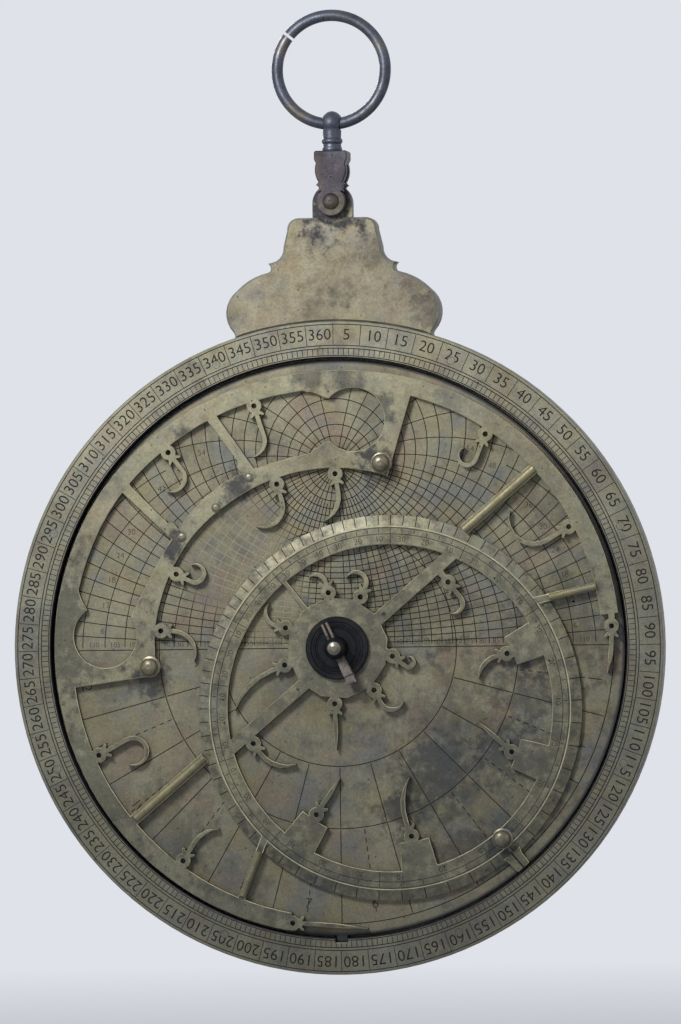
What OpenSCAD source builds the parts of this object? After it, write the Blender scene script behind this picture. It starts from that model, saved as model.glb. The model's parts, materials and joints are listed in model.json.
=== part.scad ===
// Flat astrolabe hung from its ring. A shallow round case holds four latitude plates and
// an openwork star map, a wedge through the centre pin keeps them in, and a sighting bar
// turns on the back. Front is -Y, +Z is up, and the origin is the point at the top of the
// ring's inside where a hook or a thumb carries it.

/* [Case] */
// Outer radius of the case
case_r = 90; // [84:0.5:100]
// Thickness of the case
case_t = 8.2; // [7.8:0.1:10]
// Thickness of the case's back plate
back_t = 2; // [1.5:0.1:2.4]
// Width of the raised rim, across its face
rim_w = 10; // [9:0.25:12]
// Radius of the rivets that hold the rim to the back plate
rim_rivet_r = 1; // [0.7:0.1:1.4]

/* [Throne] */
// Half width of the throne at its lobes
throne_w = 29.7; // [28:0.1:34]
// Height of the throne's shoulders above the rim
throne_h = 28.5; // [27:0.1:33]
// Thickness of the throne
throne_t = 7.6; // [6.6:0.1:8]
// Radius of the lug on top
lug_r = 5.5; // [5:0.1:5.8]
// Thickness of the lug
lug_t = 3.8; // [3.4:0.1:4.2]

/* [Hanger] */
// Outer width of the yoke
yoke_w = 9.1; // [8.6:0.1:9.2]
// Depth of the yoke, front to back
yoke_d = 9.8; // [9:0.1:11]
// Height of the yoke above its rivet
yoke_h = 14; // [13.8:0.1:18]
// Radius of the yoke's rivet
yoke_rivet_r = 1.3; // [1:0.05:1.6]
// Radius of the swivel eye
eye_r = 2.8; // [2.7:0.05:3.2]
// Height of the swivel eye from the yoke to the wire's centre
eye_h = 7.4; // [7:0.1:9]
// Radius of the swivel's stem
stem_r = 1.4; // [1.1:0.05:1.5]
// Outer radius of the hanging ring
hang_ring_r = 16.6; // [15:0.1:20]
// Thickness of the ring's wire
wire_d = 3.2; // [2.8:0.1:3.4]

/* [Plates] */
// Thickness of one latitude plate
plate_t = 1; // [0.8:0.05:1]
// Number of latitude plates
plate_count = 4; // [4:1:4]
// Gap between the plates and the rim
plate_gap = 0.7; // [0.4:0.1:1]
// Width of the tab that keeps a plate from turning
tab_w = 3; // [2.4:0.1:4]

/* [Star map] */
// Thickness of the star map
map_t = 2; // [1.6:0.1:2.2]
// Width of the star map's outer ring
map_ring_w = 5; // [4:0.1:6]
// Width of the ecliptic ring
ecliptic_w = 8.1; // [7.5:0.1:10]
// Width of the sloped edge of the ecliptic ring
slope_w = 3; // [2:0.1:3.6]
// Width of the straight bar through the centre
bar_w = 3.6; // [3:0.1:4.4]
// Width of the upper strap
strap_w = 5.5; // [4.6:0.1:6]
// Radius of the round plate in the middle
hub_r = 14.1; // [13:0.1:15]
// Radius of a star's eye
star_r = 2.1; // [1.8:0.05:2.4]
// Radius of the turning knobs
knob_r = 2.5; // [2:0.1:2.8]
// Angle that the star map is turned to
map_turn = -49.6; // [-180:0.1:180]

/* [Pin] */
// Radius of the centre pin
pin_r = 3; // [2.5:0.1:3.2]
// Radius of the washer
washer_r = 8.7; // [7.5:0.1:10]
// Thickness of the washer
washer_t = 1.3; // [1:0.1:2]
// Length of the wedge
wedge_l = 18.2; // [16:0.2:22]
// Angle of the wedge, towards its thick end
wedge_turn = -65; // [-180:1:180]

/* [Sighting bar] */
// Half length of the sighting bar
alidade_l = 87; // [80:0.5:96]
// Width of the sighting bar
alidade_w = 11; // [9:0.5:14]
// Thickness of the sighting bar
alidade_t = 2.4; // [2:0.1:4]
// Height of a sighting vane
vane_h = 15; // [12:0.5:20]
// Thickness of a sighting vane
vane_t = 2.2; // [1.8:0.1:3]
// Distance of the vanes from the centre, as a share of the bar's half length
vane_share = 0.76; // [0.7:0.01:0.8]

/* [Hidden] */
$fn = 96;
// Gap between parts that turn on each other, face to face
face_gap = 0.1;
// Gap round a shaft in its hole
shaft_gap = 0.05;
// Gap round a rivet in its hole
rivet_gap = 0.02;
// Overshoot of a cutting shape
over = 1;
// Angle between the celestial equator and the ecliptic
obliquity = 23.5;
// Depths along Y, from the front face of the rim to the back
rim_front = -case_t / 2;
case_back = case_t / 2;
floor_y = case_back - back_t;
plates_front = floor_y - plate_count * plate_t;
map_back = plates_front - face_gap;
map_front = map_back - map_t;
washer_back = map_front - face_gap;
washer_front = washer_back - washer_t;
alidade_front = case_back + face_gap;
alidade_back = alidade_front + alidade_t;
head_front = alidade_back + face_gap;
// Radii
rim_in_r = case_r - rim_w;
plate_r = rim_in_r - plate_gap;
tab_out = 1.7;
tab_gap = 0.1;
map_r = plate_r - 0.5;
map_ring_in = map_r - map_ring_w;
// Radius to which the map's bars and struts run, inside its outer ring
in_ring = map_ring_in + 1.4;
capricorn_r = plate_r - 3.2;
equator_r = capricorn_r * tan((90 - obliquity) / 2);
// The ring is filed a little inside the true circle of the ecliptic
ecliptic_r = equator_r / cos(obliquity) - 1.3;
ecliptic_x = equator_r * tan(obliquity) + 0.2;
ecliptic_in = ecliptic_r - ecliptic_w;
strap_in = equator_r - 0.3;
strap_out = strap_in + strap_w;
// Rivets and dowels of the case
rim_rivets = 8;
rim_rivet_at = case_r - rim_w / 2;
dowel_r = 1.2;
dowel_l = 10;
dowel_in = 4;
dowel_turn = 11;
dowels = 3;
// Hanger heights above the centre of the case
shoulder_z = case_r + throne_h;
pivot_z = shoulder_z + 4.4;
lug_z = pivot_z - 0.5;
lug_hole_r = yoke_rivet_r + shaft_gap;
yoke_top = pivot_z + yoke_h;
yoke_slot = lug_t + 0.6;
bridge_t = 3.8;
cheek_r = 4;
wire_z = yoke_top + face_gap + eye_h;
wire_r = wire_d / 2;
hang_ring_mid = hang_ring_r - wire_r;
ring_z = wire_z + hang_ring_mid;
hang_z = ring_z + hang_ring_mid - wire_r;
wire_hole_r = 2;
ring_cut_w = 0.8;
ring_cut_turn = 141;
// Pin and wedge
pin_hole_r = pin_r + shaft_gap;
wedge_thin = 1.9;
wedge_thick = 2.7;
wedge_low = 2.5;
wedge_high = 3.7;
wedge_reach = 7.5;
slot_w = 2.6;
slot_h = 3.5;
pin_tip = 3.4;
head_r = 6;
head_t = 2.6;
// Pointed tip of the sighting bar and the pegs of its vanes
alidade_tip = 9;
peg_r = 1;
vane_x = alidade_l * vane_share;
// Height of each sight hole as a share of the vane, and its radius
sight_holes = [[0.33, 1], [0.62, 0.5]];
// Star map layout, in its own frame: 0 degrees points to the winter solstice
map_from = 56;
map_to = -51;
index_l = 4;
index_w = 4.2;
index_shift = -0.8;
knob_turn = 125.3;
knob_at = (strap_in + strap_out) / 2;
strap_end = 122.5;
// Round cells at the strap's two ends: angle, and shift from halfway to the ring
cell_mid = (strap_out + map_ring_in) / 2;
cell_r = (map_ring_in - strap_out) / 2 - 0.6;
CELLS = [[134.9, -1.4], [226.1, 0.3]];
// Cross struts from the strap to the ring: their feet, heads and rivets
cross_foot = [strap_out - 0.4, 165.8];
cross_head = [map_ring_in - 0.8, 167.8];
cross_turn = 166.4;
cross_hole_r = 0.9;
side_turn = 62.3;
side_start = equator_r + 4;
thin_w = 1.2;
tab_l = 7.8;
tab_turns = [-75, -30.5, 29.5, 74];
tab_half = 6.4;
star_hole_r = 0.7;
claw_w = 0.64;
neck_w = 0.9;
ring_eye = map_ring_in - 1.2;
strap_eye = strap_in - 1.6;
hub_eye = hub_r + 1.3;
tab_eye = ecliptic_in - tab_l - 1.4;
bar_eye = 35;
knob_shank_r = 1.2;
rib_r = 1.2;
rib_start = equator_r - 2.2;
// The bar lies beside the centre line: on one side inside the ecliptic, on the other outside
bar_shift = 1.4;
outer_bar_w = 3;

function polar(r, a) = [r * cos(a), r * sin(a)];
function on_tab(a) = [ecliptic_x, 0] + polar(tab_eye, a);
// The old map is out of round. By angle, how far its ring and the strap's inner edge differ
RING_WEAR = [[50, -0.7], [80, -0.5], [95, -0.7], [110, -1.1], [120, -1.5], [130, -1.9],
    [140, -2.3], [150, -2.4], [160, -1.95], [170, -1.5], [180, -1.1], [190, -0.4], [200, 0],
    [240, 0.1], [260, 0.3], [320, 0.3]];
STRAP_WEAR = [[120, -0.2], [156, 0.1], [174, 0.3], [194, 1.1], [210, 1.2], [222, 1.4], [240, 1]];
function ring_worn(r, a) = polar(r + lookup((a + 360) % 360, RING_WEAR), a);
function strap_worn(r, a) = polar(r + lookup((a + 360) % 360, STRAP_WEAR), a);
// Points of an arc from a to c that passes through b
function arc_centre(a, b, c) =
    let (u = b - a, v = c - a, d = 2 * (u.x * v.y - u.y * v.x))
    a + [v.y * (u * u) - u.y * (v * v), u.x * (v * v) - v.x * (u * u)] / d;
function arc3(a, b, c, n = 8) =
    let (m = arc_centre(a, b, c), r = norm(a - m), s = atan2(a.y - m.y, a.x - m.x),
         e = atan2(c.y - m.y, c.x - m.x),
         left = (b - a).x * (c - a).y - (b - a).y * (c - a).x > 0,
         sweep = left ? (e - s + 720) % 360 : (e - s - 720) % 360)
    [for (i = [0:n]) m + polar(r, s + sweep * i / n)];
// A point on a claw: a straight stretch, then an arc, with w to the left of its middle
function claw_point(straight, turn, arc, u, w) =
    let (r = turn == 0 ? 0 : arc * 180 / (PI * turn), a = turn * u)
    turn == 0 ? [straight + arc * u, w]
              : [straight + (r - w) * sin(a), r - (r - w) * cos(a)];

// Eye of each star, the heading of its claw, the claw's straight stretch, the turn of its
// curved stretch and that stretch's length
STARS = [
    [ring_worn(ring_eye, 158), -23, 9, -95, 7.2],
    [ring_worn(ring_eye, 180), -2, 6, -150, 10],
    [ring_worn(ring_eye, 104), -62, 7.5, -230, 10],
    [ring_worn(ring_eye, 76.4), -99, 7, -140, 17],
    [ring_worn(ring_eye, -77.3), 107, 6, -60, 8.3],
    [ring_worn(ring_eye, -107), 78, 9, -235, 15.5],
    [strap_worn(strap_eye, 159.3), -24, 5, -130, 12.5],
    [strap_worn(strap_eye, 139.6), -32, 5.5, -75, 9.5],
    [strap_worn(strap_eye, -155.5), 22, 4.5, 235, 10.5],
    [strap_worn(strap_eye, -136.5), 48, 3.5, -110, 12],
    [ring_worn(map_r - 2.2, 53.5), -41, 3, -14, 10],
    [ring_worn(map_r - 2.2, -50.5), 47, 3, -5, 18],
    [on_tab(73.7), -117, 3, 75, 8.6],
    [on_tab(29.3), -173, 3, 0, 9.5],
    [on_tab(-31.4), 160, 4, -50, 13],
    [on_tab(-75.7), 106, 3, 0, 9],
    [[bar_shift + bar_w / 2 + 3.3, bar_eye], -2, 5.5, -150, 7],
    [[bar_shift + bar_w / 2 + 1.3, -bar_eye], -6, 3, 75, 11.5],
    [polar(hub_eye, 148.4), 153, 3, 125, 6],
    [polar(hub_eye, 114.5), 112, 3, 185, 9.4],
    [polar(hub_eye, -152), -145, 3, -120, 7.5],
    [polar(hub_eye, -113), -109, 4, 50, 15.5],
    [polar(hub_eye, -44), -39, 3, 0, 9.7],
    [polar(hub_eye, 0), -13, 4, 130, 7.9],
    [polar(hub_eye, 40.4), 12, 4.5, 235, 6]
];

BRASS = "#8F8A66";
DARK_BRASS = "#6E6A58";
PALE_BRASS = "#9C957A";
STAR_BRASS = "#857F62";
BRONZE = "#6B6664";
BLACKENED = "#4E4B52";

// Moves a part from the centre of the case to its place below the hook
module hung() {
    translate([0, 0, -hang_z]) children();
}

// Stands a flat shape, drawn as seen from the front, between two depths
module flat(front, back) {
    translate([0, back, 0]) rotate([90, 0, 0]) linear_extrude(back - front) children();
}

// A round bar along Y, at x and z, between two depths
module along_y(x, z, r, front, back) {
    translate([x, back, z]) rotate([90, 0, 0]) cylinder(r = r, h = back - front);
}

// A turned shape whose profile is drawn as radius against height in front of a depth
module turned_front(x, z, depth) {
    translate([x, depth, z]) rotate([90, 0, 0]) rotate_extrude() children();
}

// A ring sector from angle a to angle b
module band(r_in, r_out, a, b) {
    steps = ceil((b - a) / 45);
    intersection() {
        difference() {
            circle(r = r_out);
            circle(r = r_in);
        }
        polygon(concat([[0, 0]], [for (i = [0:steps]) polar(r_out * 2, a + (b - a) * i / steps)]));
    }
}

module suspension_ring() {
    color(BRONZE) translate([0, 0, ring_z]) difference() {
        rotate([90, 0, 0]) rotate_extrude() translate([hang_ring_mid, 0]) circle(r = wire_r);
        rotate([0, -ring_cut_turn, 0]) translate([0, -wire_d, -ring_cut_w / 2])
            cube([hang_ring_r + over, 2 * wire_d, ring_cut_w]);
    }
}

module swivel_eye() {
    foot = yoke_top + face_gap;
    stem_end = yoke_top - bridge_t - face_gap;
    color(BRONZE) difference() {
        union() {
            translate([0, 0, foot]) rotate_extrude() polygon(concat(
                [[0, 0], [eye_r - 0.1, 0], [eye_r, 0.5], [eye_r - 0.3, 1.3]],
                arc3([eye_r - 0.3, 1.9], [eye_r + 0.1, 2.7], [eye_r - 0.3, 3.5]),
                [[eye_r - 0.2, 6.1]],
                arc3([eye_r, 6.6], [eye_r * 0.707, eye_h + 0.8 + eye_r * 0.707],
                    [0, eye_h + 0.8 + eye_r])));
            translate([0, 0, stem_end - over / 2]) cylinder(r = stem_r, h = foot - stem_end + over);
            translate([0, 0, stem_end - 1.1]) cylinder(r = yoke_slot / 2 - 0.2, h = 1.1);
        }
        translate([-eye_r - over, 0, wire_z]) rotate([0, 90, 0])
            cylinder(r = wire_hole_r, h = 2 * (eye_r + over));
    }
}

// Outline of the yoke seen from the front, above its rivet
module yoke_outline() {
    half = yoke_w / 2;
    side = concat(
        [[2.6, 3], [3.6, 2.6]],
        arc3([3.3, 3.6], [3.5, 4.2], [4.1, 4.5], 4),
        arc3([3.4, 5.4], [half - 0.2, 8.6], [half - 0.5, yoke_h - 3.4]),
        [[half, yoke_h - 2.4], [half, yoke_h - 0.4], [half - 0.4, yoke_h]]);
    polygon(concat(side, [for (i = [len(side) - 1:-1:0]) [-side[i].x, side[i].y]]));
    circle(r = cheek_r);
}

module yoke() {
    color(BRONZE) translate([0, 0, pivot_z]) difference() {
        flat(-yoke_d / 2, yoke_d / 2) yoke_outline();
        translate([-yoke_w, -yoke_slot / 2, -cheek_r - over])
            cube([2 * yoke_w, yoke_slot, yoke_h - bridge_t + cheek_r + over]);
        along_y(0, 0, yoke_rivet_r + rivet_gap, -yoke_d, yoke_d);
        translate([0, 0, yoke_h - bridge_t - over])
            cylinder(r = stem_r + shaft_gap, h = bridge_t + 2 * over);
    }
}

module yoke_rivet() {
    head_profile = arc3([2.3, 0], [1.7, 0.75], [0, 1.1]);
    color(BRONZE) {
        along_y(0, pivot_z, yoke_rivet_r, -yoke_d / 2 - 0.2, yoke_d / 2 + 0.2);
        turned_front(0, pivot_z, -yoke_d / 2) polygon(concat([[0, 0]], head_profile));
        translate([0, yoke_d / 2, pivot_z]) rotate([-90, 0, 0]) rotate_extrude()
            polygon(concat([[0, 0]], head_profile));
    }
}

// Outline of the throne: a lobe, a nib, a hollow flank and a rounded shoulder on each side
module throne_outline() {
    foot = polar(case_r, acos((throne_w - 2.4) / case_r));
    side = concat(
        [[foot.x, case_r * 0.9], [foot.x, foot.y + 0.8]],
        arc3([foot.x + 0.3, foot.y + 1.4], [throne_w, case_r + 2.6], [throne_w - 3.1, case_r + 8.7]),
        arc3([throne_w - 3.4, case_r + 9], [throne_w - 7.2, case_r + 11.9], [17.9, case_r + 13.6], 5),
        arc3([17.3, case_r + 13.9], [17.1, case_r + 15], [17.8, case_r + 16.1], 4),
        arc3([16.6, case_r + 16.4], [14.4, case_r + 17.7], [13.5, case_r + 20.5], 5),
        arc3([12.4, shoulder_z - 3.4], [11.5, shoulder_z - 0.9], [9.2, shoulder_z], 5));
    difference() {
        polygon(concat(side, [for (i = [len(side) - 1:-1:0]) [-side[i].x, side[i].y]]));
        circle(r = case_r);
    }
}

module throne() {
    color(BRASS) difference() {
        union() {
            flat(-throne_t / 2, throne_t / 2) difference() {
                throne_outline();
                translate([0, lug_z]) circle(r = lug_r);
            }
            flat(-lug_t / 2, lug_t / 2) translate([0, lug_z]) circle(r = lug_r);
            flat(-lug_t / 2, lug_t / 2)
                translate([-lug_r, shoulder_z - lug_r]) square([2 * lug_r, lug_z - shoulder_z + lug_r]);
        }
        along_y(0, pivot_z, lug_hole_r, -throne_t, throne_t);
        for (i = [1:dowels]) dowel(i, dowel_r + rivet_gap);
    }
}

// Dowel i between the rim and the throne
module dowel(i, r) {
    turn = 90 + dowel_turn * (i - (dowels + 1) / 2);
    translate([0, (rim_front + floor_y) / 2, 0]) rotate([0, 90 - turn, 0])
        translate([0, 0, case_r - dowel_in]) cylinder(r = r, h = dowel_l);
}

module back_plate() {
    color(BRASS) difference() {
        flat(floor_y, case_back) circle(r = case_r, $fn = 180);
        along_y(0, 0, pin_hole_r, -case_t, case_t);
        for (i = [1:rim_rivets]) rim_rivet(i, rim_rivet_r + rivet_gap, over);
    }
}

module rim() {
    color(BRASS) difference() {
        flat(rim_front, floor_y) difference() {
            circle(r = case_r, $fn = 180);
            circle(r = rim_in_r, $fn = 180);
            translate([-tab_w / 2 - tab_gap, -rim_in_r - tab_out + plate_gap - tab_gap])
                square([tab_w + 2 * tab_gap, tab_out + over]);
        }
        for (i = [1:rim_rivets]) rim_rivet(i, rim_rivet_r + rivet_gap, over);
        for (i = [1:dowels]) dowel(i, dowel_r + rivet_gap);
    }
}

// Rivet i of the rim, with its ends flush or past the faces
module rim_rivet(i, r, past = 0) {
    p = polar(rim_rivet_at, (i - 0.5) * 360 / rim_rivets);
    along_y(p.x, p.y, r, rim_front - past, case_back + past);
}

// Latitude plate i, counted from the back
module latitude_plate(i) {
    back = floor_y - (i - 1) * plate_t;
    color(PALE_BRASS) difference() {
        flat(back - plate_t, back) {
            circle(r = plate_r, $fn = 180);
            translate([-tab_w / 2, -plate_r - tab_out]) square([tab_w, tab_out + over]);
        }
        along_y(0, 0, pin_hole_r, -case_t, case_t);
    }
}

// Edges of the opening between the two cells, each from a cusp to the other cusp
strap_edge = [for (p = [[2, 140.3], [1.85, 142.1], [0.5, 144.2], [0, 145.7], [-0.9, 146.6],
    [-1.1, 152], [-1.1, 157], [-0.8, 161], [-0.3, 166], [0.15, 170.5], [0.4, 175], [0.4, 180],
    [0.2, 186], [0, 192], [-0.05, 198], [0.2, 204], [0.65, 210], [1.3, 213.5], [2, 216.5],
    [2.7, 219.4], [3.2, 221.3]]) polar(strap_out + p[0], p[1])];
ring_edge = concat(
    [for (p = [[-4, 222.5], [-3.4, 220.3], [-1.5, 218.6], [-0.5, 217.3]]) polar(map_ring_in + p[0], p[1])],
    [for (a = [216.5:-3.5:146.5]) ring_worn(map_ring_in, a)],
    [for (p = [[-2.9, 145.6], [-2.9, 144.8], [-3.7, 143.4], [-4.75, 141.9], [-5.3, 140.3]])
        polar(map_ring_in + p[0], p[1])]);

strap_steps = 36;
function strap_angle(i) = strap_end + (360 - 2 * strap_end) * i / strap_steps;

// Strap between the knobs, with its two end bars, the round cells and the cross struts
module strap() {
    difference() {
        polygon(concat([for (i = [0:strap_steps]) strap_worn(strap_in, strap_angle(i))],
            [for (i = [strap_steps:-1:0]) polar(in_ring, strap_angle(i))]));
        for (c = CELLS) rotate(c[0]) translate([cell_mid + c[1], 0]) circle(r = cell_r);
        polygon(concat(strap_edge, ring_edge));
    }
    for (side = [0, 1]) mirror([0, side]) cross_strut();
}

// A cross strut: straight on one side, with a small cusp and a wide foot on the other
module cross_strut() {
    foot = polar(cross_foot[0], cross_foot[1]);
    way = polar(cross_head[0], cross_head[1]) - foot;
    translate(foot) rotate(atan2(way.y, way.x)) polygon([
        [-2.5, 1.7], [0, 1.8], [2.6, 2.1], [3.5, 1.1], [4.1, 0.85], [4.9, 1.3], [5.6, 0.95],
        [norm(way), 1.45], [norm(way) + 1.8, 2], [norm(way) + 1.8, -2], [norm(way), -1.5],
        [-2.5, -1.7]]);
}

// Half width of a claw at a share of its length: even, then it tapers over its last third
function claw_half(s) = claw_w * min(1, 0.18 + (1 - s) * 2.3);

// One star: its eye, two leaves at the root of its claw, and the claw to the star's place
module star(place, heading, straight, turn, arc) {
    n = max(4, ceil(abs(turn) / 18));
    whole = straight + arc;
    half = [for (i = [0:n]) claw_half((straight + arc * i / n) / whole)];
    left = [for (i = [0:n]) claw_point(straight, turn, arc, i / n, half[i])];
    right = [for (i = [n:-1:0]) claw_point(straight, turn, arc, i / n, -half[i])];
    translate(place) rotate(heading) {
        circle(r = star_r, $fn = 32);
        polygon(concat([[-star_r - 2.6, neck_w], [star_r - 0.4, neck_w], [star_r + 0.7, claw_w]],
            left, right,
            [[star_r + 0.7, -claw_w], [star_r - 0.4, -neck_w], [-star_r - 2.6, -neck_w]]));
        for (side = [0, 1]) mirror([0, side]) polygon([
            [star_r - 0.6, 0.3], [star_r - 0.5, 1.1], [star_r + 0.5, 1.95], [star_r + 0.85, 2],
            [star_r + 1.1, 1.8], [star_r + 1.1, 1.5], [star_r + 0.5, 0.6]]);
    }
}

// Straight struts of the map: the offset bar, the outer bars, the side struts and a thin one
module struts() {
    reach = equator_r - 5;
    translate([bar_shift - bar_w / 2, -reach]) square([bar_w, 2 * reach]);
    for (side = [0, 1]) mirror([0, side]) translate([-bar_shift - outer_bar_w / 2, rib_start])
        square([outer_bar_w, in_ring - rib_start]);
    for (side = [-1, 1]) rotate(side * side_turn) translate([side_start, -bar_w * 0.28])
        square([in_ring - side_start, bar_w * 0.56]);
    rotate(178) translate([hub_r - over, -thin_w / 2])
        square([ecliptic_in - ecliptic_x - hub_r + 2 * over, thin_w]);
}

ring_steps = 84;
function ring_angle(i) = map_from + (360 + map_to - map_from) * i / ring_steps;

// Everything on the map but its ecliptic ring, as seen from the front
module map_outline() {
    polygon(concat([for (i = [0:ring_steps]) ring_worn(map_r, ring_angle(i))],
        [for (i = [ring_steps:-1:0]) ring_worn(map_ring_in, ring_angle(i))]));
    strap();
    struts();
    circle(r = hub_r, $fn = 12);
    translate([ecliptic_x + ecliptic_r - 1, index_shift]) polygon([
        [0, -index_w * 0.7], [1.6, -index_w * 0.55], [index_l + 1, -index_w / 2],
        [index_l + 1.2, 0.3 - index_w / 2], [index_l + 1.2, index_w / 2 - 0.3],
        [index_l + 1, index_w / 2], [1.6, index_w * 0.55], [0, index_w * 0.7]]);
    for (a = tab_turns) translate([ecliptic_x, 0])
        band(ecliptic_in - tab_l, ecliptic_in + over, a - tab_half, a + tab_half);
    for (s = STARS) star(s[0], s[1], s[2], s[3], s[4]);
}

// Ecliptic ring with its sloped outer edge
module ecliptic() {
    translate([ecliptic_x, map_back, 0]) rotate([90, 0, 0]) rotate_extrude($fn = 180) polygon([
        [ecliptic_in, 0], [ecliptic_in, map_t], [ecliptic_r - slope_w, map_t],
        [ecliptic_r, map_t * 0.55], [ecliptic_r, 0]]);
}

function knob_place(i) = i == 3 ? [ecliptic_x + ecliptic_in + (ecliptic_w - slope_w) / 2, 0]
                                : polar(knob_at, (i == 1 ? 1 : -1) * knob_turn);

module turned_map() {
    rotate([0, -map_turn, 0]) children();
}

module star_map() {
    color(STAR_BRASS) turned_map() difference() {
        union() {
            flat(map_front, map_back) map_outline();
            ecliptic();
        }
        along_y(0, 0, pin_hole_r, -case_t, case_t);
        for (s = STARS) along_y(s[0].x, s[0].y, star_hole_r, -case_t, case_t, $fn = 24);
        for (i = [1:3]) {
            p = knob_place(i);
            along_y(p.x, p.y, knob_shank_r + rivet_gap, -case_t, case_t);
            strap_pin(i, cross_hole_r + rivet_gap, over);
        }
    }
}

module knob(i) {
    rise = 3.9;
    color(STAR_BRASS) turned_map() {
        along_y(knob_place(i).x, knob_place(i).y, knob_shank_r, map_front - 0.3, map_back);
        turned_front(knob_place(i).x, knob_place(i).y, map_front) polygon(concat(
            [[0, 0], [knob_r + 0.4, 0], [knob_r + 0.4, 0.4], [knob_r - 0.9, 0.9], [knob_r - 0.8, 1.6]],
            arc3([knob_r, 2.2], [knob_r * 0.75, rise - 0.5], [0, rise])));
    }
}

// Places of the strap's rivets: the feet of the cross struts and the middle
function strap_rivet_place(i) = i == 3 ? polar(strap_in + 1.6, 180)
                                       : polar(strap_out - 2.2, (i == 1 ? 1 : -1) * cross_turn);

// Shank of strap rivet i, flush at the back
module strap_pin(i, r, past = 0) {
    p = strap_rivet_place(i);
    along_y(p.x, p.y, r, map_front - past, map_back + past);
}

module strap_rivet(i) {
    p = strap_rivet_place(i);
    color(STAR_BRASS) turned_map() {
        strap_pin(i, cross_hole_r);
        turned_front(p.x, p.y, map_front)
            polygon(concat([[0, 0]], arc3([cross_hole_r + 0.4, 0], [cross_hole_r, 0.35], [0, 0.5])));
    }
}

// Half-round rib i on an outer stretch of the bar or on a side strut
module map_rib(i) {
    on_bar = i <= 2;
    turn = (i % 2 == 1 ? 1 : -1) * (on_bar ? 90 : side_turn);
    r = on_bar ? rib_r : rib_r * 0.8;
    start = on_bar ? rib_start : ecliptic_x * cos(side_turn) + ecliptic_r - 3;
    color(STAR_BRASS) turned_map() translate([on_bar ? -bar_shift : 0, 0, 0])
        rotate([0, -turn, 0]) intersection() {
            translate([start, map_front, 0]) rotate([0, 90, 0])
                cylinder(r = r, h = map_ring_in - 0.4 - start);
            translate([start - over, map_front - 2 * r, -2 * r])
                cube([map_r, 2 * r, 4 * r]);
        }
}

module pin() {
    rod_end = washer_front - slot_h;
    color(BRASS) difference() {
        union() {
            along_y(0, 0, pin_r, rod_end, head_front + over);
            turned_front(0, 0, rod_end) polygon(concat([[0, 0], [pin_r, 0]],
                arc3([pin_r, 1.2], [pin_r * 0.72, 2.6], [0.7, pin_tip]), [[0, pin_tip]]));
            translate([0, head_front, 0]) rotate([-90, 0, 0]) rotate_extrude() polygon(concat(
                [[0, 0]], arc3([head_r, 0], [head_r * 0.75, head_t * 0.7], [0, head_t])));
        }
        rotate([0, -wedge_turn, 0]) translate([-pin_r - over, rod_end, -slot_w / 2])
            cube([2 * (pin_r + over), slot_h + 0.05, slot_w]);
    }
}

// Washer under the wedge, with two turned grooves
module washer() {
    groove = 0.25;
    color(BLACKENED) turned_front(0, 0, washer_back) polygon([
        [pin_hole_r, 0], [washer_r, 0], [washer_r, washer_t - 0.3], [washer_r - 0.3, washer_t],
        [washer_r - 1.4, washer_t], [washer_r - 1.6, washer_t - groove],
        [washer_r - 2.1, washer_t - groove], [washer_r - 2.3, washer_t],
        [washer_r - 2.7, washer_t], [washer_r - 2.9, washer_t - groove],
        [washer_r - 3.2, washer_t - groove], [washer_r - 3.4, washer_t],
        [pin_hole_r, washer_t]]);
}

// Wedge through the pin: narrow and low at one end, with a groove there and a notch near
// the other end
module wedge() {
    far = wedge_l - wedge_reach;
    color(PALE_BRASS) rotate([0, -wedge_turn, 0]) difference() {
        intersection() {
            flat(washer_front - wedge_high - over, washer_front) polygon([
                [-wedge_reach, -wedge_thin / 2], [far, -wedge_thick / 2],
                [far, wedge_thick / 2], [-wedge_reach, wedge_thin / 2]]);
            translate([0, 0, -wedge_thick]) linear_extrude(2 * wedge_thick) polygon([
                [-wedge_reach, washer_front], [far, washer_front],
                [far, washer_front - wedge_high], [-wedge_reach, washer_front - wedge_low]]);
        }
        translate([-wedge_reach - over, washer_front - wedge_high, -0.35])
            cube([wedge_reach - pin_r + over, wedge_high - wedge_low + 1.1, 0.7]);
        translate([far - 2.6, washer_front - wedge_high - over, -wedge_thick])
            cube([1, over + 0.7, 2 * wedge_thick]);
    }
}

// Sighting bar on the back, pointed at both ends
module alidade() {
    half = alidade_w / 2;
    arm = [[half * 0.8, 0], [half, vane_x], [half * 0.8, alidade_l - alidade_tip],
        [half * 0.25, alidade_l - alidade_tip / 2]];
    color(BRASS) difference() {
        union() {
            along_y(0, 0, alidade_w * 0.9, alidade_front, alidade_back);
            flat(alidade_front, alidade_back) polygon(concat(
                [for (p = arm) [-p.x, p.y]], [[0, alidade_l]], [for (i = [3:-1:0]) arm[i]],
                [for (i = [1:3]) [arm[i].x, -arm[i].y]], [[0, -alidade_l]],
                [for (i = [3:-1:1]) -arm[i]]));
        }
        along_y(0, 0, pin_hole_r, 0, 2 * alidade_back);
        for (i = [1, 2]) vane_pegs(i, peg_r + rivet_gap, over);
    }
}

// The two pegs that hold vane i in the sighting bar
module vane_pegs(i, r, past = 0) {
    for (x = [-1, 1]) along_y(x * alidade_w / 4, (i == 1 ? 1 : -1) * vane_x, r,
        alidade_front - past, alidade_back + max(past, 0.5));
}

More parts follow.
